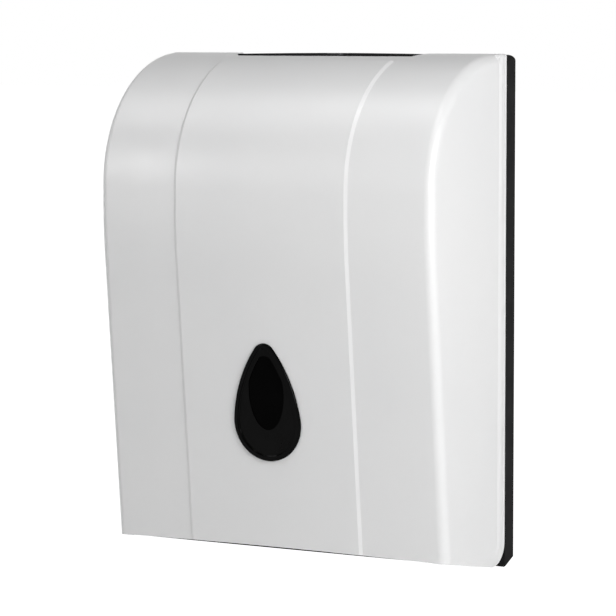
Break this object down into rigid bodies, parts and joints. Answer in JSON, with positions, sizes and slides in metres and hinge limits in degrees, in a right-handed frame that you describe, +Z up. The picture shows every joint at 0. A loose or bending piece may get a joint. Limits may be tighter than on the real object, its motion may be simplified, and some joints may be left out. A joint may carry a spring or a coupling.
{
  "type": "folded paper towel dispenser",
  "caption": "Wall-mounted dispenser for folded paper towels with a hinged locking front cover, a teardrop sight window and a towel outlet slot underneath.",
  "frame": {"origin": "middle of the four wall screw slots, on the wall plane", "axes": "+Z up, +Y into the wall, so the front faces -Y; +X to the right seen from the front"},
  "size_m": [0.285, 0.1201, 0.37],
  "materials": {
    "cover_white": "fine satin moulded, white",
    "base_black": "fine texture moulded, black",
    "bezel_black": "polished moulded, black",
    "smoked_lens": "polished, dark smoked",
    "screw_steel": "zinc plated",
    "pin_steel": "ground",
    "lock_metal": "satin black nickel plated",
    "zinc": "zinc plated, stamped"
  },
  "bodies": {
    "base": {"back_plate": "base_black", "towel_tray": "base_black", "towel_guide_left": "base_black", "towel_guide_right": "base_black", "lock_housing": "base_black", "tray_screws": "screw_steel", "guide_screws": "screw_steel", "housing_screws": "screw_steel", "hinge_pin_left": "pin_steel", "hinge_pin_right": "pin_steel", "lock_barrel": "lock_metal", "lock_nut": "zinc"},
    "cover": {"front_cover": "cover_white", "window_bezel": "bezel_black", "sight_lens": "smoked_lens", "window_retainer": "base_black", "cover_strike": "zinc", "strike_screws": "screw_steel"},
    "lock": {"lock_plug": "lock_metal", "lock_cam": "zinc", "cam_screw": "screw_steel"}
  },
  "joints": [
    {"name": "cover_hinge", "type": "hinge", "parent": "base", "child": "cover", "pos_m": [0, -0.03, -0.171], "axis": [1, 0, 0], "range_deg": [0, 95]},
    {"name": "lock_turn", "type": "hinge", "parent": "base", "child": "lock", "pos_m": [0, -0.01215, 0.17], "axis": [0, 0, -1], "range_deg": [0, 90]}
  ]
}
